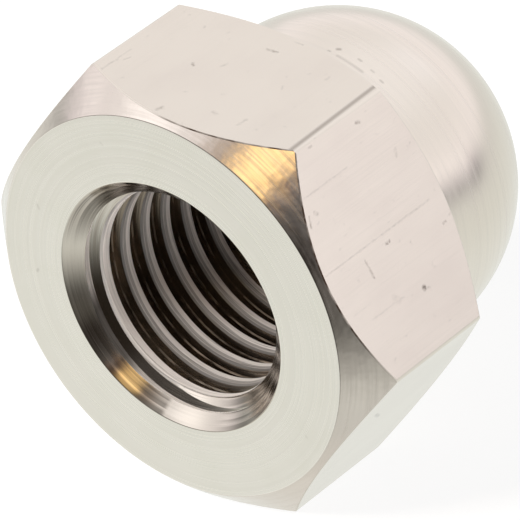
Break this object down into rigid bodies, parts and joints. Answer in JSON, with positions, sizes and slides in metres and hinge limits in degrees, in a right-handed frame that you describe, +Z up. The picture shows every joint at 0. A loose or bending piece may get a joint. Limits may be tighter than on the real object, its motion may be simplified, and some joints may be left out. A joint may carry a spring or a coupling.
{
  "type": "cap nut",
  "caption": "Hexagon cap nut with a closed round dome over a blind threaded hole; it closes off and covers the end of a bolt.",
  "frame": {"origin": "on the thread axis, where the countersink ends and the threaded wall begins, 1.0 mm inside the bearing face", "axes": "+Z up from the hexagon flat that the nut lies on; the thread axis is Y, with the mouth facing -Y and the dome facing +Y"},
  "size_m": [0.0196, 0.0177, 0.017],
  "materials": {
    "plated_steel": "bright nickel-like finish: satin drawn flats, fine turned faces and dome, dark thread flanks"
  },
  "bodies": {
    "root": {"cap_nut": "plated_steel"}
  },
  "joints": []
}
